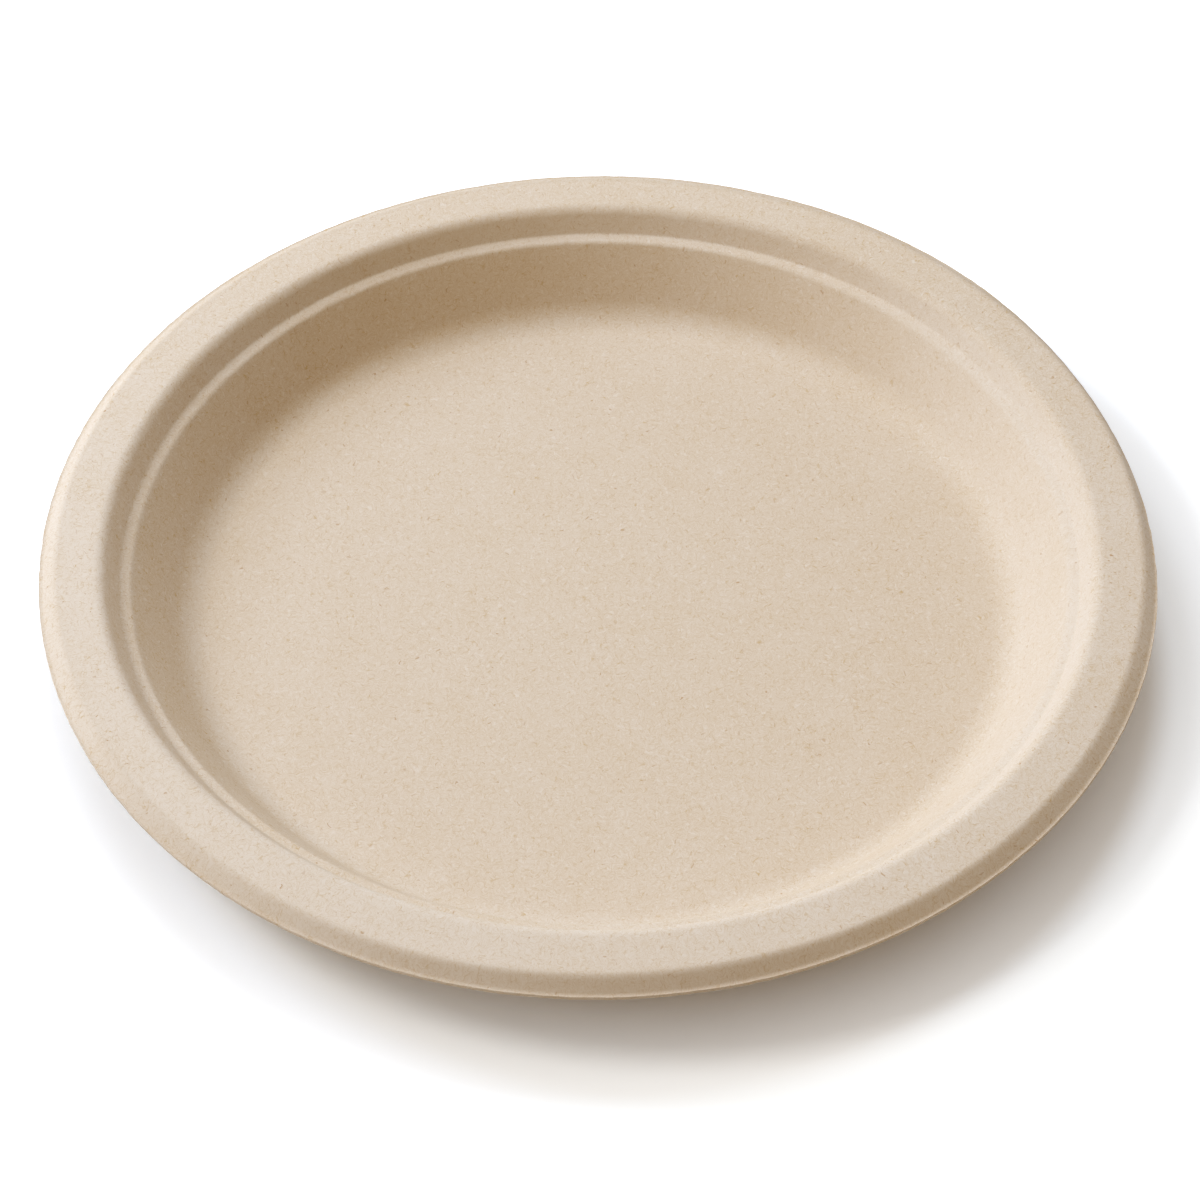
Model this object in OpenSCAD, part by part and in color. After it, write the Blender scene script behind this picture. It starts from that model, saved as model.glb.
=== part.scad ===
// Round dinner plate pressed in one piece from unbleached plant fibre.
// The whole plate is one thin wall of even thickness, turned about the Z axis.
// Its section is a path of straight runs joined by round bends, read from the centre outwards:
// flat floor, side wall, sloping stacking ledge, short step, flat rim, turned-down lip, trimmed edge.

/* [Plate] */
// Diameter over the trimmed edge
outer_d = 228; // [200:1:320]
// Depth of the dish, from the floor up to the rim
dish_depth = 19.2; // [16:0.1:40]
// Thickness of the pressed fibre wall
wall_t = 0.8; // [0.5:0.05:1.2]

/* [Side wall] */
// Slope of the side wall above the level floor, in degrees
wall_slope = 53; // [45:0.5:75]
// Inside radius of the wide bend between the floor and the side wall
floor_bend_r = 9.2; // [3:0.1:14]

/* [Stacking ledge] */
// Drop from the rim down to the foot of the step, where the ledge ends
ledge_drop = 4.8; // [3:0.1:8]
// Width of the ledge that the next plate's wall sits on, seen from above
ledge_w = 2.2; // [2:0.1:5]
// Rise of the ledge outwards above level, in degrees
ledge_slope = 15; // [0:0.5:20]
// Inside radius of the bend at the top of the side wall
ledge_bend_r = 1; // [0.3:0.1:1.6]
// Slope of the short step between the ledge and the rim, in degrees
step_slope = 58; // [45:0.5:75]
// Inside radius of the bend at the foot of the step
step_bend_r = 0.8; // [0.2:0.1:1.2]

/* [Rim] */
// Width of the level rim, from the step to the lip
rim_w = 9.4; // [6:0.1:20]
// Inside radius of the bend between the step and the rim
rim_inner_r = 2.3; // [0.3:0.1:3]
// Inside radius of the bend where the rim turns down into the lip
rim_outer_r = 1.7; // [0.3:0.1:2.5]

/* [Lip] */
// Drop from the rim down to the trimmed edge
lip_drop = 1.9; // [1.5:0.1:5]
// Slope of the turned-down lip below the level rim, in degrees
lip_slope = 45; // [30:0.5:60]
// Width of the level strip left outside the lip when the plate is trimmed
edge_w = 1.2; // [0.8:0.1:3]
// Inside radius of the bend between the lip and the trimmed strip
edge_bend_r = 0.4; // [0.2:0.1:0.8]

/* [Hidden] */
fibre_colour = "#dccbb6";
$fn = 180;

half_t = wall_t / 2;
edge_r = outer_d / 2;
floor_z = half_t;
rim_z = floor_z + dish_depth;
step_foot_z = rim_z - ledge_drop;
wall_top_z = step_foot_z - ledge_w * tan(ledge_slope);
edge_z = rim_z - lip_drop;

// Sharp corners of the wall's middle line, as radii from the axis, worked out from the edge inwards
lip_foot_r = edge_r - edge_w;
lip_top_r = lip_foot_r - lip_drop / tan(lip_slope);
step_top_r = lip_top_r - rim_w;
step_foot_r = step_top_r - ledge_drop / tan(step_slope);
wall_top_r = step_foot_r - ledge_w;
wall_foot_r = wall_top_r - (wall_top_z - floor_z) / tan(wall_slope);

// Corners of the middle line, from the axis outwards: radius, height, and inside radius of the bend there
CORNERS = [
    [0, floor_z, 0],
    [wall_foot_r, floor_z, floor_bend_r],
    [wall_top_r, wall_top_z, ledge_bend_r],
    [step_foot_r, step_foot_z, step_bend_r],
    [step_top_r, rim_z, rim_inner_r],
    [lip_top_r, rim_z, rim_outer_r],
    [lip_foot_r, edge_z, edge_bend_r],
    [edge_r, edge_z, 0]
];
LAST = len(CORNERS) - 1;
// Points along each bend
BEND_STEPS = 12;

function corner(i) = [CORNERS[i][0], CORNERS[i][1]];
function slope_of(run) = atan2(run[1], run[0]);
// Unit vector that points to the left of a heading, which is up on the wall's upper face
function left_of(heading) = [-sin(heading), cos(heading)];
function heading_out(i) = slope_of(corner(min(i, LAST - 1) + 1) - corner(min(i, LAST - 1)));
function heading_in(i) = heading_out(max(i, 1) - 1);
// Turn of the wall at a corner: above zero where it bends upwards
function turn(i) = heading_out(i) - heading_in(i);
function middle_r(i) = CORNERS[i][2] + half_t;

// Centre of the bend at a corner, found by stepping back along the wall to where the bend starts
function centre(i) = let (
        back = middle_r(i) * tan(abs(turn(i)) / 2),
        along = [cos(heading_in(i)), sin(heading_in(i))]
    ) corner(i) - back * along + sign(turn(i)) * middle_r(i) * left_of(heading_in(i));

// Arc of one face of the wall round the bend at a corner, with the face's offset from the middle line
function bend_arc(i, offset) = [
    for (k = [0 : BEND_STEPS])
        centre(i) + (offset - sign(turn(i)) * middle_r(i)) * left_of(heading_in(i) + turn(i) * k / BEND_STEPS)
];

// One whole face of the wall in section, from the axis to the trimmed edge
function face_line(offset) = concat(
    [corner(0) + offset * left_of(heading_in(0))],
    [for (i = [1 : LAST - 1]) each bend_arc(i, offset)],
    [corner(LAST) + offset * left_of(heading_in(LAST))]
);
function reversed(line) = [for (i = [len(line) - 1 : -1 : 0]) line[i]];

module wall_section() {
    polygon(concat(face_line(half_t), reversed(face_line(-half_t))));
}

module plate() {
    color(fibre_colour)
        rotate_extrude()
            wall_section();
}

plate();
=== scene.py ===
import math

import bpy
import numpy as np
from mathutils import Matrix, Vector


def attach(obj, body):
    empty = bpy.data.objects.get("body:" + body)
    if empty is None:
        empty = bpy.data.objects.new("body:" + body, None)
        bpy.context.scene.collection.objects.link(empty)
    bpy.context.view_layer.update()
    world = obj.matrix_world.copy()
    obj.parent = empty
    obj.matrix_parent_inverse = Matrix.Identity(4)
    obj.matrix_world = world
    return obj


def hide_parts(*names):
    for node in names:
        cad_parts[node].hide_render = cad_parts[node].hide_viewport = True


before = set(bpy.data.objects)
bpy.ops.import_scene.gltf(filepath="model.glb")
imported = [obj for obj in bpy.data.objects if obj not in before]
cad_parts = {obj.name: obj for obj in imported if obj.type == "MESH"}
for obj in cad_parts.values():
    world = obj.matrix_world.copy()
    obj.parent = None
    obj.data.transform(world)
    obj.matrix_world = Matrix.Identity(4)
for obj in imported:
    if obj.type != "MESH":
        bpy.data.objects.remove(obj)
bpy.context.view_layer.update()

# A paper plate, pressed in one piece from unbleached plant fibre and trimmed round its edge.
# The CAD solid gives its size; the skin made here adds the slight unevenness of a pressed fibre wall
# and the fibres themselves. Lengths of the plate are written in millimetres, as in the part's source.
MM = 0.001

# Section of the wall, under the names of the part's source and with its values, apart from the lip:
# its slope, the strip outside it and the bends above and below it follow the real plate more closely
OUTER_D = 228.0
DISH_DEPTH = 19.2
WALL_T = 0.8
WALL_SLOPE = 53.0
FLOOR_BEND_R = 9.2
LEDGE_DROP = 4.8
LEDGE_W = 2.2
LEDGE_SLOPE = 15.0
LEDGE_BEND_R = 1.0
STEP_SLOPE = 58.0
STEP_BEND_R = 0.8
RIM_W = 9.4
RIM_INNER_R = 2.3
RIM_OUTER_R = 1.3
LIP_DROP = 1.9
LIP_SLOPE = 39.0
EDGE_W = 0.8
EDGE_BEND_R = 1.2

# Roundness of the two corners of the trimmed edge
EDGE_ROUND = 0.12
# Steps round the plate, and stations along each straight run and each bend of the section
STEPS_ROUND = 720
RUN_STATIONS = (9, 3, 2, 2, 4, 3, 2)
BEND_STATIONS = (12, 7, 5, 8, 7, 5)

# Unevenness of the pressed faces: seed, most that they sink into the wall, the waves that they sink in
# (how many, shortest and longest), and the way from the middle over which the sinking sets in
SEED = 7
SKIN_SINK = 0.05
SKIN_WAVES = (40, 3.0, 16.0)
SKIN_SETS_IN = (0.0, 12.0)
# Most that the bends of the ledge and the step sink beside that, where the press rounds them unevenly,
# with its waves, and the ways along the wall where that starts and ends
WORN_SINK = 0.08
WORN_WAVES = (60, 2.4, 6.0)
WORN_STARTS = (97.0, 101.0)
WORN_ENDS = (109.0, 112.0)
# How far the trimmed edge is frayed back: the scale, the mean and the size of its waves beside that, and
# their lowest number round the plate, their highest, and how fast they fade from the one to the other
EDGE_FRAY = 0.10
FRAY_MEAN = 0.5
FRAY_WAVE = 0.35
FRAY_NUMBERS = (6, 320, 0.35)

# Where the pressed plate isn't round. A side is its direction round the plate from +X and its reach to
# both sides, in degrees, and the power of its falling off. Two radii say where a shift begins and is
# full, or where it begins to fade and ends.
# On the right the trim runs nearer the lip, which draws in all outside a radius by so much at the edge
TRIM_SHORT = 1.45
TRIM_FROM_R = 111.5
TRIM_SIDE = (19.0, 24.0, 2.0)
# The ledge, the step and the rim's inner bend lie this much nearer the middle than in the source, and
# more so at the front, where the pressed rim came out wider
DISH_IN = 0.25
DISH_IN_FRONT = 1.2
DISH_SIDE = (-90.0, 58.0, 4.0)
DISH_STARTS_R = (84.0, 93.0)
DISH_ENDS_R = (101.0, 109.0)
# On the right the ledge is pressed less sharply: its outer part stands this much higher
LEDGE_FILL = 0.5
LEDGE_SIDE = (-5.0, 55.0, 4.0)
LEDGE_STARTS_R = (95.6, 98.2)
LEDGE_ENDS_R = (98.2, 101.0)
# The lip starts this much nearer the middle at the front and right, and at the front left
LIP_IN = 0.6
LIP_SIDE = (-52.0, 58.0, 4.0)
LIP_IN_LEFT = 0.5
LIP_LEFT_SIDE = (207.0, 34.0, 4.0)
LIP_STARTS_R = (104.0, 109.5)
LIP_ENDS_R = (110.6, 113.2)
# At the front the lip's edge hangs this much lower
LIP_DROOP = 0.35
DROOP_SIDE = (-90.0, 55.0, 4.0)

# How far the underside's pattern lies from the upper face's
UNDERSIDE_ASIDE = 400.0

# Short fibres that lie side by side, some darker and some paler than the rest: heading in degrees, width
# and length
SHORT_FIBRES = ((12, 0.19, 2.2), (48, 0.17, 1.9), (84, 0.19, 2.2), (120, 0.17, 2.0), (156, 0.19, 2.1))
# Strength of the short fibres
SHORT_DEPTH = 2.4
# Slow drift of all fibres, so that none lies quite straight: noise scale and detail, and how far
DRIFT_NOISE = (0.5, 1.0)
DRIFT = 1.8
# Curled hairs, drawn where a noise crosses its middle: noise scale, half width of the line, and depth
CURLS = ((0.62, 0.034, 1.7), (0.70, 0.034, -1.5), (0.95, 0.044, 1.4), (1.05, 0.044, -1.2))
# Lone fibres, one to a cell: cell, length, width, bow, share that stays hidden, and depth
LONE_FIBRES = ((2.4, 5.6, 0.24, 0.20, 0.2, 2.0), (1.5, 3.4, 0.20, 0.50, 0.1, 1.6))
# Flecks of husk, one to a cell, in the same order, the last value being how much of their colour shows
FLECKS = ((2.9, 0.9, 0.42, 0.00, 0.62, 0.80), (1.7, 1.7, 0.18, 0.40, 0.62, 0.55))
# How far each pattern of hairs, fibres and short fibres lies from the one before, so that none repeats
CURL_APART = 61.7
LONE_APART = (37.3, 23.9)
SHORT_APART = (19.3, 7.1)
# Half length of a lone fibre: its least share of the length, what chance adds to that, and the share of
# it that isn't faded
HALF_LEAST = 0.15
HALF_CHANCE = 0.35
UNFADED = 0.6
# Numbers by which a cell's three random values are mixed to a fourth
MIXING = (37.0, 53.0)
# Fine grain and soft clouds: noise scale, detail and roughness, and strength beside that of the fibres
GRAIN_NOISE = (1.9, 2.0, 0.6)
GRAIN = 0.6
CLOUD_NOISE = (90.0, 4.0, 0.55)
CLOUD = 1.3
# Strength and height in metres of the grain's bump, the pitch of the wire screen that the underside was
# formed on, and the height of its print beside the grain's
BUMP_STRENGTH = 0.2
BUMP_HEIGHT = 0.00004
SCREEN_PITCH = 0.6
SCREEN_DEPTH = 0.6

# Colour of a pale fibre, of a dark one and of a fleck. The tint of one goes from the first to the second
# by a mean share and by so much for each step of the fibres' pattern
PALE = (0.723, 0.637, 0.548)
BROWN = (0.530, 0.352, 0.145)
FLECK = (0.46, 0.27, 0.12)
TINT_MEAN = 0.24
TINT_STEP = 0.15
ROUGHNESS = 0.85
SPECULAR = 0.2
# Zones of the wall, by the way along it from the middle: where each sets in and is full, or where it
# fades and ends. The side wall's zone takes in the ledge and the step
WALL_STARTS = (84.0, 88.0)
WALL_ENDS = (107.5, 110.5)
LEDGE_STARTS = (100.6, 101.8)
LEDGE_ENDS = (103.6, 104.8)
STEP_STARTS = (101.0, 103.0)
RIM_STARTS = (108.0, 111.0)
LIP_STARTS = (118.0, 119.8)
STRIP_STARTS = (121.8, 122.6)
# How much browner each zone is than the floor, as painted light and shade: below zero a zone is painted
# paler, where it takes more light, and above zero browner, where it lies more in shade. Where a pair
# follows, that tint sets in between two places of the plan, in metres: along X to the right or the left,
# along Y to the back, or along Y with a share of X
WALL_PAINTED_SHADE = 0.08
WALL_RIGHT_PAINTED_LIGHT = -0.15
WALL_RIGHT = (0.04, 0.09)
STEP_PAINTED_LIGHT = -0.08
STEP_BACK_PAINTED_LIGHT = -0.13
STEP_BACK = (0.07, 0.10)
STEP_BACK_SLANT = -0.4
LEDGE_LEFT_PAINTED_LIGHT = -0.12
LEDGE_LEFT = (-0.055, -0.085)
RIM_PAINTED_LIGHT = -0.11
RIM_BACK_PAINTED_SHADE = 0.12
RIM_BACK = (0.0, 0.10)
STRIP_PAINTED_SHADE = 0.07
# Painted light falling off across the plate: how much browner per metre of X the whole plate is, paler on
# the left and browner on the right, and painted shade on the side wall beside that on the left
SIDE_PAINTED_LIGHT = 0.45
WALL_LEFT_PAINTED_SHADE = -1.30
# Painted shade on the lip, as a dimming of its colour. It is spared on the right, along X with a share
# of Y, and less so on the left, where the lip faces more light
LIP_PAINTED_SHADE = (0.907, 0.888, 0.863)
LIP_SPARED = 0.9
SPARED_RIGHT = (0.081, 0.121)
SPARED_RIGHT_SLANT = -0.58
SPARED_LEFT = (-0.085, -0.105)
SPARED_LEFT_SHARE = 0.65
# How much stronger all marks are than on the floor, per metre from the middle: to the left on the side
# wall, and to both sides on the rim
WALL_MARKS = -2.0
RIM_MARKS = 2.9

# Table: white, and brighter to the camera away from the plate than the light on it makes it. The glow is
# painted light that fades the plate's cast shadow outwards: it starts to grow and is full at two distances
# from a point beside the plate's axis, in metres, on ovals that are flatter from front to back, and goes
# over to plain white far out
TABLE_HALF = 6.0
TABLE_COLOUR = (0.87, 0.87, 0.87)
GLOW_NEAR = (0.026, 0.028, 0.032)
GLOW_FAR = (0.405, 0.437, 0.481)
GLOW_REACH = (0.1065, 0.1295)
GLOW_OVAL = 1.067
GLOW_ASIDE = 0.0012
WHITE_REACH = (0.3, 1.0)
WHITE = (1.0, 1.0, 1.0)

# Light: round soft lamps at one distance from the plate. Each is given by its height above the table and
# its direction round the plate from +X, in degrees, and by the light it lays on a surface that faces it
LAMP_DISTANCE = 1.5
LAMP_SIZE = 0.5
LAMPS = {
    "window_left": (32, 150, (0.268, 0.341, 0.460)),
    "high_left": (46, 180, (0.348, 0.360, 0.363)),
    "high_back_left": (46, 120, (0.127, 0.145, 0.176)),
    "high_back": (60, 90, (0.250, 0.295, 0.344)),
    "low_left": (12, 180, (0.111, 0.132, 0.155)),
    "low_right": (12, 45, (0.125, 0.171, 0.229)),
}
# Warm light of the room from all sides
AMBIENT = (0.303, 0.201, 0.077)

# Camera, at the photograph's viewing angle: its height above the table and its roll, its distance and
# the point that it looks at in plate radii, and its focal length in pixels of the photograph
PLATE_R = OUTER_D / 2 * MM
CAM_RISE = math.radians(47.55)
CAM_ROLL = math.radians(-0.40)
CAM_DISTANCE = 7.0 * PLATE_R
CAM_TARGET = Vector((0.0012, 0.0371, -0.026)) * PLATE_R
CAM_FOCAL = 3817.8
PHOTO_SIDE = 1200
CAM_SENSOR = 36


def section_corners():
    """Sharp corners of the wall's middle line as radius, height and inside bend radius, floor to edge."""
    floor_z = WALL_T / 2
    rim_z = floor_z + DISH_DEPTH
    step_foot_z = rim_z - LEDGE_DROP
    wall_top_z = step_foot_z - LEDGE_W * math.tan(math.radians(LEDGE_SLOPE))
    edge_z = rim_z - LIP_DROP
    edge_r = OUTER_D / 2
    lip_foot_r = edge_r - EDGE_W
    lip_top_r = lip_foot_r - LIP_DROP / math.tan(math.radians(LIP_SLOPE))
    step_top_r = lip_top_r - RIM_W
    step_foot_r = step_top_r - LEDGE_DROP / math.tan(math.radians(STEP_SLOPE))
    wall_top_r = step_foot_r - LEDGE_W
    wall_foot_r = wall_top_r - (wall_top_z - floor_z) / math.tan(math.radians(WALL_SLOPE))
    return np.array([
        (0.0, floor_z, 0.0),
        (wall_foot_r, floor_z, FLOOR_BEND_R),
        (wall_top_r, wall_top_z, LEDGE_BEND_R),
        (step_foot_r, step_foot_z, STEP_BEND_R),
        (step_top_r, rim_z, RIM_INNER_R),
        (lip_top_r, rim_z, RIM_OUTER_R),
        (lip_foot_r, edge_z, EDGE_BEND_R),
        (edge_r, edge_z, 0.0),
    ])


def middle_line(corners):
    """The wall's middle line, station by station, with its heading there.

    A bend at a corner is an arc of radius m = inside radius + half the wall, tangent to both runs: it
    starts m * tan(|turn| / 2) before the corner, and its point at heading h is
    centre - sign(turn) * m * left(h), where left(h) = (-sin h, cos h). Runs are straight between arcs.
    """
    place = corners[:, :2]
    leg = np.diff(place, axis=0)
    heading = np.arctan2(leg[:, 1], leg[:, 0])
    turn = np.diff(heading)
    bend_r = corners[1:-1, 2] + WALL_T / 2
    back = bend_r * np.tan(np.abs(turn) / 2)
    points = [place[:1]]
    headings = [heading[:1]]
    for i, stations in enumerate(BEND_STATIONS):
        h = heading[i] + turn[i] * np.linspace(0, 1, stations)
        along = np.array((math.cos(heading[i]), math.sin(heading[i])))
        side = np.sign(turn[i]) * bend_r[i]
        centre = place[i + 1] - back[i] * along + side * np.array((-along[1], along[0]))
        arc = centre - side * np.stack((-np.sin(h), np.cos(h)), axis=1)
        share = np.linspace(0, 1, RUN_STATIONS[i] + 1)[1:-1, None]
        points += [points[-1][-1] + share * (arc[0] - points[-1][-1]), arc]
        headings += [np.full(len(share), heading[i]), h]
    share = np.linspace(0, 1, RUN_STATIONS[-1] + 1)[1:, None]
    end = place[-1] - np.array((EDGE_ROUND, 0.0))
    points.append(points[-1][-1] + share * (end - points[-1][-1]))
    headings.append(np.full(len(share), heading[-1]))
    return np.concatenate(points), np.concatenate(headings)


def section_loop(points, headings):
    """Whole outline of the wall: upper face outwards, cut edge downwards, underside back to the axis.

    Each face is the middle line moved by half the wall along left(h). The cut edge is two quarter
    circles of radius EDGE_ROUND with a short flat between them.
    """
    half_t = WALL_T / 2
    left = np.stack((-np.sin(headings), np.cos(headings)), axis=1)
    upper = points + half_t * left
    under = points - half_t * left
    quarter = np.radians((67.5, 45.0, 22.5, 0.0))
    corner = EDGE_ROUND * np.stack((np.cos(quarter), np.sin(quarter)), axis=1)
    middle = points[-1]
    lift = np.array((0.0, half_t - EDGE_ROUND))
    cut = np.concatenate((middle + lift + corner, middle - lift + corner[::-1] * (1, -1)))
    loop = np.concatenate((upper, cut, under[::-1]))
    normal = np.concatenate((left, np.tile((1.0, 0.0), (len(cut), 1)), -left[::-1]))
    return loop, normal, len(upper), len(cut)


def waves(u, v, rng, count, shortest, longest):
    """Smooth random field of about -1 to 1: a sum of plane waves of random heading, length and phase."""
    length = rng.uniform(math.log(shortest), math.log(longest), count)
    k = 2 * math.pi / np.exp(length)
    way = rng.uniform(0, 2 * math.pi, count)
    phase = rng.uniform(0, 2 * math.pi, count)
    field = np.zeros_like(u)
    for n in range(count):
        field += np.sin(k[n] * (u * math.cos(way[n]) + v * math.sin(way[n])) + phase[n])
    return field / math.sqrt(count / 2) / 2


def ring_waves(angle, rng, lowest, highest, fade):
    """Periodic random line round the plate: harmonics of random phase whose size falls as n ** -fade."""
    n = np.arange(lowest, highest)[:, None]
    phase = rng.uniform(0, 2 * math.pi, n.shape)
    size = rng.normal(0, 1, n.shape) * n.astype(float) ** -fade
    line = (size * np.cos(n * angle[None] + phase)).sum(axis=0)
    return line / line.std()


def smooth_step(low, high, x):
    """0 below low, 1 above high, and t * t * (3 - 2 t) between them."""
    t = np.clip((x - low) / (high - low), 0, 1)
    return t * t * (3 - 2 * t)


def band(starts, ends, x):
    """0 on both sides of a band and 1 in it: the smooth step of its start minus that of its end."""
    return smooth_step(*starts, x) - smooth_step(*ends, x)


def one_side(angle, way, reach, power):
    """1 in one direction round the plate and 0 away from it: exp(-(|angle - way| / reach) ** power)."""
    off = (np.degrees(angle) - way + 180) % 360 - 180
    return np.exp(-(np.abs(off) / reach) ** power)


def skin_faces(rings):
    """Faces of the skin: four-sided between neighbouring rings, and a fan at the axis on each side.

    Point i of ring j has number j * STEPS_ROUND + i. The fans' middles are the last two points, the
    upper face's first.
    """
    ring, here = np.meshgrid(np.arange(rings - 1), np.arange(STEPS_ROUND), indexing="ij")
    there = (here + 1) % STEPS_ROUND
    first = ring * STEPS_ROUND
    quads = np.stack(
        (first + here, first + STEPS_ROUND + here, first + STEPS_ROUND + there, first + there), axis=2
    ).reshape(-1, 4)
    here = np.arange(STEPS_ROUND)
    there = (here + 1) % STEPS_ROUND
    last = (rings - 1) * STEPS_ROUND
    top_fan = np.stack((np.full(STEPS_ROUND, rings * STEPS_ROUND), here, there), axis=1)
    under_fan = np.stack((last + here, np.full(STEPS_ROUND, rings * STEPS_ROUND + 1), last + there), axis=1)
    return quads, top_fan, under_fan


def plate_skin():
    """Mesh of the whole plate: the section loop carried round the axis, a little uneven as pressed fibre.

    Station j of the loop at angle a lies at (r cos a, r sin a, z). Both faces are sunk into the wall
    along their normal by sums of waves, and the trimmed edge is frayed back by another. Then r or z is
    moved in bands of the section by the band's share of the station times its shift, most of them on
    one side of the plate only. The pattern's map is (reach cos a, reach sin a), where reach is the way
    along the face from the axis, and the underside's is moved by UNDERSIDE_ASIDE.
    """
    rng = np.random.default_rng(SEED)
    points, headings = middle_line(section_corners())
    loop, normal, upper, cut = section_loop(points, headings)
    loop = loop[1:-1]
    normal = normal[1:-1]
    step = np.hypot(*np.diff(loop, axis=0).T)
    run = loop[0, 0] + np.concatenate(([0.0], np.cumsum(step)))
    back = run[-1] + loop[-1, 0] - run
    on_top = np.arange(len(loop)) < upper - 1 + cut
    reach = np.where(on_top, run, back)
    radius = loop[:, :1]

    angle = np.linspace(0, 2 * math.pi, STEPS_ROUND, endpoint=False)
    u = reach[:, None] * np.cos(angle)
    v = reach[:, None] * np.sin(angle)
    aside = np.where(on_top, 0.0, UNDERSIDE_ASIDE)[:, None]
    worn = WORN_SINK * band(WORN_STARTS, WORN_ENDS, reach)[:, None]
    sink = SKIN_SINK * (waves(u + aside, v, rng, *SKIN_WAVES) * 0.5 + 0.5)
    sink = sink + worn * (waves(u + aside, v, rng, *WORN_WAVES) * 0.5 + 0.5)
    sink = np.clip(sink, 0, None) * smooth_step(*SKIN_SETS_IN, reach)[:, None]
    r = radius - sink * normal[:, :1]
    z = loop[:, 1:] - sink * normal[:, 1:]

    frayed = EDGE_FRAY * np.clip(FRAY_MEAN + FRAY_WAVE * ring_waves(angle, rng, *FRAY_NUMBERS), 0, None)
    r = r - smooth_step(OUTER_D / 2 - EDGE_W, OUTER_D / 2, radius) * frayed
    trimmed = np.clip((radius - TRIM_FROM_R) / (OUTER_D / 2 - TRIM_FROM_R), 0, 1)
    r = r - trimmed * TRIM_SHORT * one_side(angle, *TRIM_SIDE)
    dish_in = DISH_IN + DISH_IN_FRONT * one_side(angle, *DISH_SIDE)
    r = r - band(DISH_STARTS_R, DISH_ENDS_R, radius) * dish_in
    z = z + band(LEDGE_STARTS_R, LEDGE_ENDS_R, radius) * LEDGE_FILL * one_side(angle, *LEDGE_SIDE)
    lip_in = LIP_IN * one_side(angle, *LIP_SIDE) + LIP_IN_LEFT * one_side(angle, *LIP_LEFT_SIDE)
    r = r - band(LIP_STARTS_R, LIP_ENDS_R, radius) * lip_in
    z = z - smooth_step(*LIP_ENDS_R, radius) * LIP_DROOP * one_side(angle, *DROOP_SIDE)

    verts = np.empty((r.size + 2, 3))
    verts[:-2, 0] = (r * np.cos(angle)).ravel()
    verts[:-2, 1] = (r * np.sin(angle)).ravel()
    verts[:-2, 2] = z.ravel()
    verts[-2] = (0, 0, WALL_T)
    verts[-1] = (0, 0, 0)
    quads, top_fan, under_fan = skin_faces(len(loop))

    flat = np.zeros((len(verts), 2))
    flat[:-2, 0] = u.ravel()
    flat[:-2, 1] = v.ravel()
    corner_vert = np.concatenate((quads.ravel(), top_fan.ravel(), under_fan.ravel()))
    under_quad = np.repeat(~on_top[1:], STEPS_ROUND * 4)
    fans = (np.zeros(top_fan.size, bool), np.ones(under_fan.size, bool))
    spread = flat[corner_vert]
    spread[:, 0] += np.where(np.concatenate((under_quad, *fans)), UNDERSIDE_ASIDE, 0.0)

    mesh = bpy.data.meshes.new("plate_skin")
    mesh.from_pydata(verts * MM, [], quads.tolist() + top_fan.tolist() + under_fan.tolist())
    mesh.uv_layers.new(name="wall").data.foreach_set("uv", spread.ravel())
    mesh.polygons.foreach_set("use_smooth", np.ones(len(mesh.polygons), bool))
    mesh.update()
    return mesh


class Nodes:
    """Short way to write a node tree: each call adds one node, links its inputs and gives its output."""

    def __init__(self, tree):
        self.tree = tree
        tree.nodes.clear()

    def node(self, kind, inputs, **settings):
        """All outputs of a new node, whose inputs are sockets to link or plain values."""
        node = self.tree.nodes.new(kind)
        for name, value in settings.items():
            setattr(node, name, value)
        for key, value in inputs.items():
            if isinstance(value, bpy.types.NodeSocket):
                self.tree.links.new(value, node.inputs[key])
            else:
                node.inputs[key].default_value = value
        return node.outputs

    def add(self, kind, inputs=None, out=0, **settings):
        """One output of a new node."""
        outputs = self.node(kind, inputs or {}, **settings)
        return outputs[out] if len(outputs) else None

    def math(self, operation, a, b=0.0, c=0.0):
        """Result of one operation on numbers."""
        return self.add("ShaderNodeMath", {0: a, 1: b, 2: c}, operation=operation)

    def vector(self, operation, a, b=(0.0, 0.0, 0.0), c=(0.0, 0.0, 0.0)):
        """Result of one operation on vectors. A length comes out as a number."""
        out = "Value" if operation == "LENGTH" else "Vector"
        return self.add("ShaderNodeVectorMath", {0: a, 1: b, 2: c}, out, operation=operation)

    def mix(self, share, first, second, blend="MIX"):
        """Colour that goes from the first to the second as the share goes from 0 to 1."""
        ends = [c if isinstance(c, bpy.types.NodeSocket) else (*c, 1) for c in (first, second)]
        return self.add("ShaderNodeMix", {0: share, 6: ends[0], 7: ends[1]}, out=2, data_type="RGBA",
                        blend_type=blend)

    def noise(self, place, scale, detail=0.0, rough=0.5, out=0, sides="2D"):
        """Soft random field of about 0 to 1, or its colours."""
        return self.add("ShaderNodeTexNoise", {
            "Vector": place, "Scale": scale, "Detail": detail, "Roughness": rough}, out,
            noise_dimensions=sides)

    def ramp(self, value, low, high):
        """0 where value is at low, 1 at high, with a smooth step between."""
        return self.add("ShaderNodeMapRange", {0: value, 1: low, 2: high}, interpolation_type="SMOOTHSTEP")

    def band(self, value, starts, ends):
        """0 on both sides of a band and 1 in it, with a smooth step at its start and its end."""
        return self.math("SUBTRACT", self.ramp(value, *starts), self.ramp(value, *ends))


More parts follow.
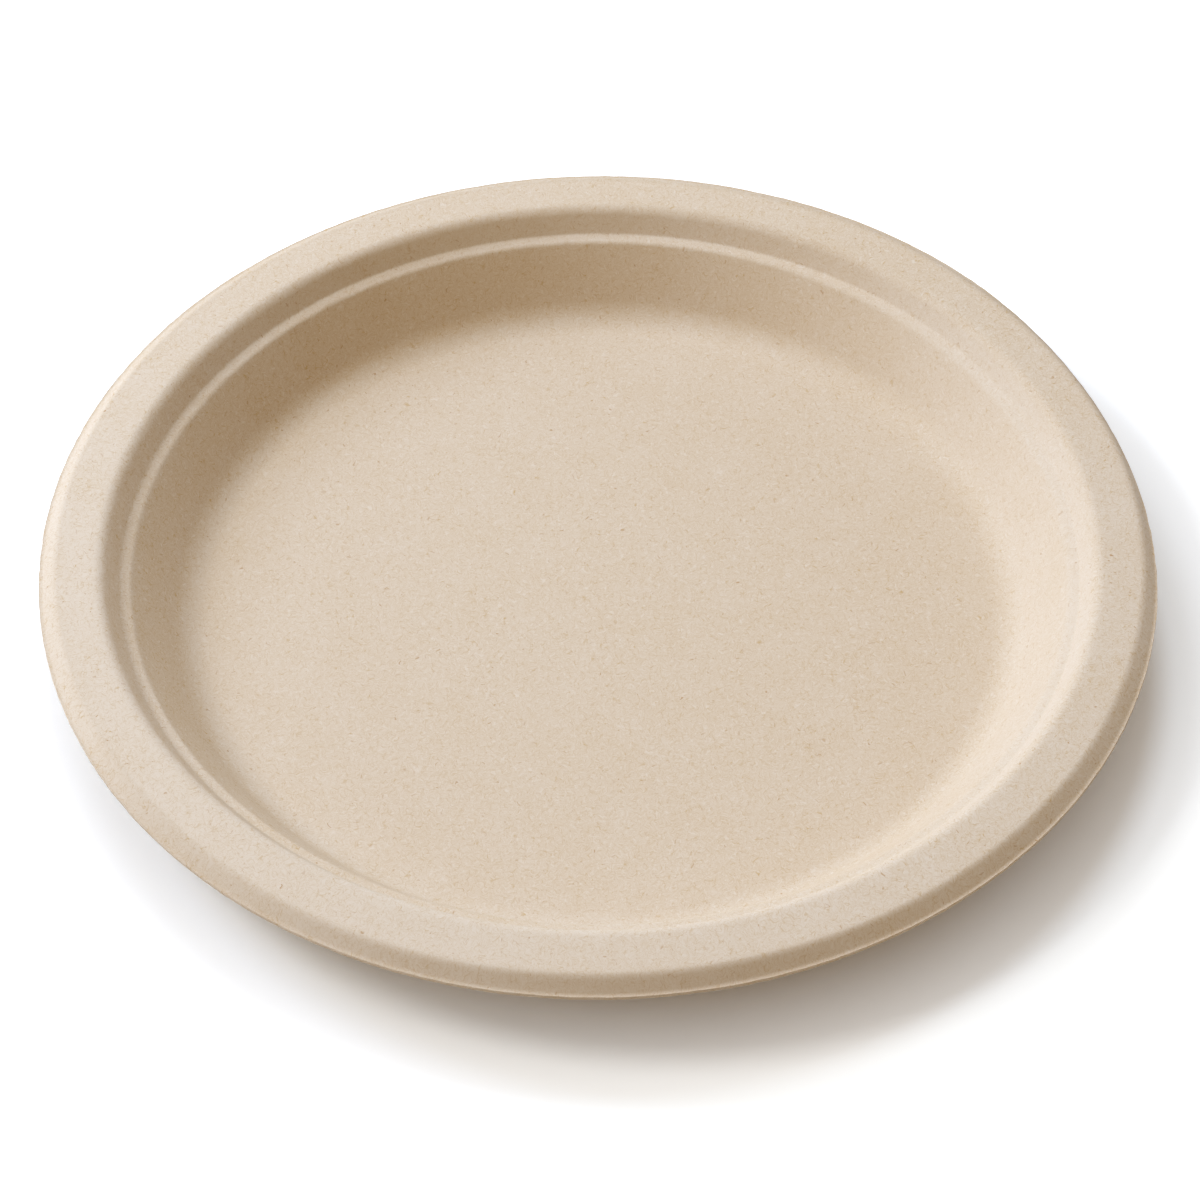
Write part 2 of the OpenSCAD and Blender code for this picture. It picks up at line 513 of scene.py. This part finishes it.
def scatter_group():
    """Node group that lays one short bowed fibre in each cell of a pattern of random points.

    The cell's own random colour turns the fibre, bows it and sets its length. With (along, across) the
    way from the cell's middle, turned by the fibre's angle, the fibre lies where
    |across - bow * along ^ 2| < width / 2 and |along| < half length, fading softly at its sides and
    ends. Place and sizes are in millimetres. Pick is a second random value, the same all along one
    fibre.
    """
    tree = bpy.data.node_groups.new("fibre_scatter", "ShaderNodeTree")
    tree.interface.new_socket(name="Place", in_out="INPUT", socket_type="NodeSocketVector")
    for name in ("Cell", "Length", "Width", "Bow"):
        tree.interface.new_socket(name=name, in_out="INPUT", socket_type="NodeSocketFloat")
    for name in ("Fibre", "Pick"):
        tree.interface.new_socket(name=name, in_out="OUTPUT", socket_type="NodeSocketFloat")
    n = Nodes(tree)
    given = tree.nodes.new("NodeGroupInput").outputs
    density = n.math("DIVIDE", 1.0, given["Cell"])
    cells = n.node("ShaderNodeTexVoronoi", {"Vector": given["Place"], "Scale": density},
                   voronoi_dimensions="2D", feature="F1")
    away = n.vector("SUBTRACT", given["Place"], cells["Position"])
    chance = n.node("ShaderNodeSeparateColor", {0: cells["Color"]})
    turned = n.add("ShaderNodeVectorRotate", {
        "Vector": away, "Angle": n.math("MULTIPLY", chance[0], 2 * math.pi)}, rotation_type="Z_AXIS")
    axes = n.node("ShaderNodeSeparateXYZ", {0: turned})
    bow = n.math("MULTIPLY", given["Bow"], n.math("MULTIPLY_ADD", chance[1], 2.0, -1.0))
    bowed = n.math("MULTIPLY", bow, n.math("MULTIPLY", axes[0], axes[0]))
    aside = n.math("ABSOLUTE", n.math("SUBTRACT", axes[1], bowed))
    body = n.ramp(aside, n.math("MULTIPLY", given["Width"], 0.5), 0.0)
    half = n.math("MULTIPLY", given["Length"], n.math("MULTIPLY_ADD", chance[2], HALF_CHANCE, HALF_LEAST))
    ends = n.ramp(n.math("ABSOLUTE", axes[0]), half, n.math("MULTIPLY", half, UNFADED))
    mixed = n.math("MULTIPLY_ADD", chance[1], MIXING[1], chance[2])
    mixed = n.math("MULTIPLY_ADD", chance[0], MIXING[0], mixed)
    n.node("NodeGroupOutput", {"Fibre": n.math("MULTIPLY", body, ends), "Pick": n.math("FRACT", mixed)})
    return tree


def laid_fibres(n, spread):
    """Tint of the overlapping fibres and share of the flecks, on the map of the wall.

    The short fibres are noises drawn out along their headings, of which the darkest and the palest
    show. A curled hair is 1 where |noise - 0.5| is 0 and 0 from its half width on. The lone fibres and
    the flecks come from the scatter, each where its pick is above the hidden share.
    """
    drift = n.noise(spread, *DRIFT_NOISE, out="Color")
    drift = n.vector("ADD", drift, (-0.5, -0.5, -0.5))
    place = n.vector("ADD", spread, n.vector("MULTIPLY", drift, (DRIFT, DRIFT, 0.0)))
    darkest = palest = 0.5
    for i, (heading, width, length) in enumerate(SHORT_FIBRES):
        laid = n.add("ShaderNodeMapping", {
            "Vector": place, "Location": (SHORT_APART[0] * i, SHORT_APART[1] * i, 0),
            "Rotation": (0, 0, math.radians(heading)), "Scale": (length, width, 1)}, vector_type="TEXTURE")
        field = n.noise(laid, 1.0)
        darkest = n.math("MAXIMUM", field, darkest)
        palest = n.math("MINIMUM", field, palest)
    tint = n.math("MULTIPLY", n.math("ADD", darkest, palest), SHORT_DEPTH)
    tint = n.math("SUBTRACT", tint, SHORT_DEPTH)
    for i, (scale, half, depth) in enumerate(CURLS):
        field = n.noise(n.vector("ADD", place, (CURL_APART * (i + 1), 0.0, 0.0)), scale)
        line = n.ramp(n.math("ABSOLUTE", n.math("SUBTRACT", field, 0.5)), half, 0.0)
        tint = n.math("MULTIPLY_ADD", line, depth, tint)
    scatter = scatter_group()
    flecks = 0.0
    for i, (cell, length, width, bow, hidden, depth) in enumerate(LONE_FIBRES + FLECKS):
        laid = n.node("ShaderNodeGroup", {
            "Place": n.vector("ADD", place, (LONE_APART[0] * i, LONE_APART[1] * i, 0.0)),
            "Cell": cell, "Length": length, "Width": width, "Bow": bow}, node_tree=scatter)
        shown = n.add("ShaderNodeMapRange", {0: laid["Pick"], 1: hidden, 2: 1.0, 4: depth})
        if i < len(LONE_FIBRES):
            tint = n.math("MULTIPLY_ADD", laid["Fibre"], shown, tint)
        else:
            flecks = n.math("MULTIPLY_ADD", laid["Fibre"], shown, flecks)
    return tint, flecks


def zone_painted_light(n, share, reach, wall, rim, x, y):
    """Share of brown with each zone's painted light and shade added to it.

    A zone adds its step along the wall times its tint. A tint that belongs to one side of the plate is
    multiplied by a step across the plan, and the two that grow evenly sideways by x.
    """
    step = n.band(reach, STEP_STARTS, WALL_ENDS)
    back_left = n.ramp(n.math("MULTIPLY_ADD", x, STEP_BACK_SLANT, y), *STEP_BACK)
    step_painted_light = n.math("MULTIPLY_ADD", back_left, STEP_BACK_PAINTED_LIGHT, STEP_PAINTED_LIGHT)
    share = n.math("MULTIPLY_ADD", step, step_painted_light, share)
    ledge = n.math("MULTIPLY", n.band(reach, LEDGE_STARTS, LEDGE_ENDS), n.ramp(x, *LEDGE_LEFT))
    share = n.math("MULTIPLY_ADD", ledge, LEDGE_LEFT_PAINTED_LIGHT, share)
    # Painted light falling off from the left across the whole plate
    share = n.math("MULTIPLY_ADD", x, SIDE_PAINTED_LIGHT, share)
    wall_painted_light_and_shade = n.math("MULTIPLY_ADD", n.math("MINIMUM", x, 0.0), WALL_LEFT_PAINTED_SHADE, WALL_PAINTED_SHADE)
    wall_painted_light_and_shade = n.math("MULTIPLY_ADD", n.ramp(x, *WALL_RIGHT), WALL_RIGHT_PAINTED_LIGHT, wall_painted_light_and_shade)
    share = n.math("MULTIPLY_ADD", wall, wall_painted_light_and_shade, share)
    rim_painted_light_and_shade = n.math("MULTIPLY_ADD", n.ramp(y, *RIM_BACK), RIM_BACK_PAINTED_SHADE, RIM_PAINTED_LIGHT)
    share = n.math("MULTIPLY_ADD", rim, rim_painted_light_and_shade, share)
    return n.math("MULTIPLY_ADD", n.ramp(reach, *STRIP_STARTS), STRIP_PAINTED_SHADE, share)


def lip_painted_shade(n, reach, x, y):
    """Share of the lip's painted shade: 1 from the lip outwards, less what is spared on the right and left.
    """
    spared = n.ramp(n.math("MULTIPLY_ADD", y, SPARED_RIGHT_SLANT, x), *SPARED_RIGHT)
    spared = n.math("MULTIPLY_ADD", n.ramp(x, *SPARED_LEFT), SPARED_LEFT_SHARE, spared)
    left_over = n.math("MULTIPLY_ADD", spared, -LIP_SPARED, 1.0)
    return n.math("MULTIPLY", n.ramp(reach, *LIP_STARTS), left_over)


def fibre_material():
    """Matte unbleached fibre: overlapping fibres, brown flecks, fine grain and soft clouds of tint.

    On the underside the map is folded back onto the upper face's for the zones, and a print of the wire
    screen, sin(u) * sin(v), is added to the height of the bump.
    """
    material = bpy.data.materials.new("pressed_fibre")
    material.use_nodes = True
    n = Nodes(material.node_tree)
    spread = n.add("ShaderNodeUVMap", uv_map="wall")
    around = n.add("ShaderNodeTexCoord", out="Object")
    plan = n.node("ShaderNodeSeparateXYZ", {0: around})
    x, y = plan[0], plan[1]
    along = n.node("ShaderNodeSeparateXYZ", {0: spread})
    under = n.math("GREATER_THAN", along[0], UNDERSIDE_ASIDE / 2)
    folded = n.vector("MULTIPLY_ADD", under, (-UNDERSIDE_ASIDE, 0, 0), spread)
    reach = n.vector("LENGTH", folded)
    wall = n.band(reach, WALL_STARTS, WALL_ENDS)
    rim = n.ramp(reach, *RIM_STARTS)

    tint, flecks = laid_fibres(n, spread)
    grain = n.noise(spread, *GRAIN_NOISE)
    cloud = n.noise(around, *CLOUD_NOISE, sides="3D")
    tint = n.math("MULTIPLY_ADD", n.math("SUBTRACT", grain, 0.5), GRAIN, tint)
    tint = n.math("MULTIPLY_ADD", n.math("SUBTRACT", cloud, 0.5), CLOUD, tint)
    marks = n.math("MULTIPLY_ADD", n.math("MULTIPLY", wall, x), WALL_MARKS, 1.0)
    marks = n.math("MULTIPLY_ADD", n.math("MULTIPLY", rim, n.math("ABSOLUTE", x)), RIM_MARKS, marks)
    share = n.math("MULTIPLY_ADD", n.math("MULTIPLY", tint, marks), TINT_STEP, TINT_MEAN)
    # Painted light and shade by zone and by side of the plate, added to the fibres' own tint
    share = zone_painted_light(n, share, reach, wall, rim, x, y)
    colour = n.mix(share, PALE, BROWN)
    colour = n.mix(n.math("MULTIPLY", flecks, marks), colour, FLECK)
    # Painted shade on the lip, lighter on the right and the left
    colour = n.mix(lip_painted_shade(n, reach, x, y), colour, LIP_PAINTED_SHADE, blend="MULTIPLY")

    rows = n.math("SINE", n.math("MULTIPLY", along[0], 2 * math.pi / SCREEN_PITCH))
    columns = n.math("SINE", n.math("MULTIPLY", along[1], 2 * math.pi / SCREEN_PITCH))
    screen = n.math("MULTIPLY", n.math("MULTIPLY", rows, columns), n.math("MULTIPLY", under, SCREEN_DEPTH))
    bump = n.add("ShaderNodeBump", {
        "Strength": BUMP_STRENGTH, "Distance": BUMP_HEIGHT, "Height": n.math("ADD", grain, screen)})
    shader = n.add("ShaderNodeBsdfPrincipled", {
        "Base Color": colour, "Roughness": ROUGHNESS, "Specular IOR Level": SPECULAR, "Normal": bump})
    n.add("ShaderNodeOutputMaterial", {"Surface": shader})
    return material


def table_material():
    """White table that the camera sees brighter with the distance from the plate, up to plain white."""
    material = bpy.data.materials.new("white_table")
    material.use_nodes = True
    n = Nodes(material.node_tree)
    diffuse = n.add("ShaderNodeBsdfDiffuse", {"Color": (*TABLE_COLOUR, 1)})
    around = n.add("ShaderNodeTexCoord", out="Object")
    # Painted light: the glow lifts the plate's cast shadow, more with the distance from the plate
    away = n.vector("LENGTH", n.vector("MULTIPLY_ADD", around, (1, GLOW_OVAL, 1), (-GLOW_ASIDE, 0, 0)))
    grown = n.add("ShaderNodeMapRange", {0: away, 1: GLOW_REACH[0], 2: GLOW_REACH[1]})
    glow = n.mix(grown, GLOW_NEAR, GLOW_FAR)
    glow = n.mix(n.ramp(away, *WHITE_REACH), glow, WHITE)
    seen = n.add("ShaderNodeLightPath", out="Is Camera Ray")
    glow = n.add("ShaderNodeEmission", {"Color": glow, "Strength": seen})
    n.add("ShaderNodeOutputMaterial", {"Surface": n.add("ShaderNodeAddShader", {0: diffuse, 1: glow})})
    return material


def placed(name, data, material=None):
    """New object made of this data, linked to the scene, with its material if it has one."""
    thing = bpy.data.objects.new(name, data)
    bpy.context.scene.collection.objects.link(thing)
    if material:
        data.materials.append(material)
    return thing


# The plate
plate = placed("plate_fibre", plate_skin(), fibre_material())
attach(plate, "root")
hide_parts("plate")

# The table
table_mesh = bpy.data.meshes.new("table")
table_mesh.from_pydata([
    (-TABLE_HALF, -TABLE_HALF, 0), (TABLE_HALF, -TABLE_HALF, 0), (TABLE_HALF, TABLE_HALF, 0),
    (-TABLE_HALF, TABLE_HALF, 0)], [], [(0, 1, 2, 3)])
table = placed("table", table_mesh, table_material())

# The lamps, turned to face the plate, and the room
for name, (rise, way, colour) in LAMPS.items():
    lamp_data = bpy.data.lights.new(name, "AREA")
    lamp_data.shape = "DISK"
    lamp_data.size = LAMP_SIZE
    lamp_data.energy = (math.pi * LAMP_DISTANCE) ** 2
    lamp_data.color = colour
    lamp = placed(name, lamp_data)
    flat = LAMP_DISTANCE * math.cos(math.radians(rise))
    lamp.location = (flat * math.cos(math.radians(way)), flat * math.sin(math.radians(way)),
                     LAMP_DISTANCE * math.sin(math.radians(rise)))
    lamp.rotation_euler = lamp.location.to_track_quat("Z", "Y").to_euler()

world = bpy.data.worlds.new("room")
bpy.context.scene.world = world
world.use_nodes = True
n = Nodes(world.node_tree)
ambient = n.add("ShaderNodeBackground", {"Color": (*AMBIENT, 1), "Strength": 1.0})
white = n.add("ShaderNodeBackground", {"Color": (*WHITE, 1), "Strength": 1.0})
seen = n.add("ShaderNodeLightPath", out="Is Camera Ray")
n.add("ShaderNodeOutputWorld", {"Surface": n.add("ShaderNodeMixShader", {0: seen, 1: ambient, 2: white})})

# The camera
camera_data = bpy.data.cameras.new("camera")
camera_data.lens = CAM_FOCAL / PHOTO_SIDE * CAM_SENSOR
camera_data.sensor_width = CAM_SENSOR
camera = placed("camera", camera_data)
bpy.context.scene.camera = camera
back = Vector((0, -math.cos(CAM_RISE), math.sin(CAM_RISE)))
right = Vector((1, 0, 0))
up = Vector((0, math.sin(CAM_RISE), math.cos(CAM_RISE)))
side = math.cos(CAM_ROLL) * right + math.sin(CAM_ROLL) * up
top = -math.sin(CAM_ROLL) * right + math.cos(CAM_ROLL) * up
camera.matrix_world = Matrix((side, top, back)).transposed().to_4x4()
camera.location = CAM_TARGET + CAM_DISTANCE * back

bpy.context.scene.view_settings.view_transform = "Standard"
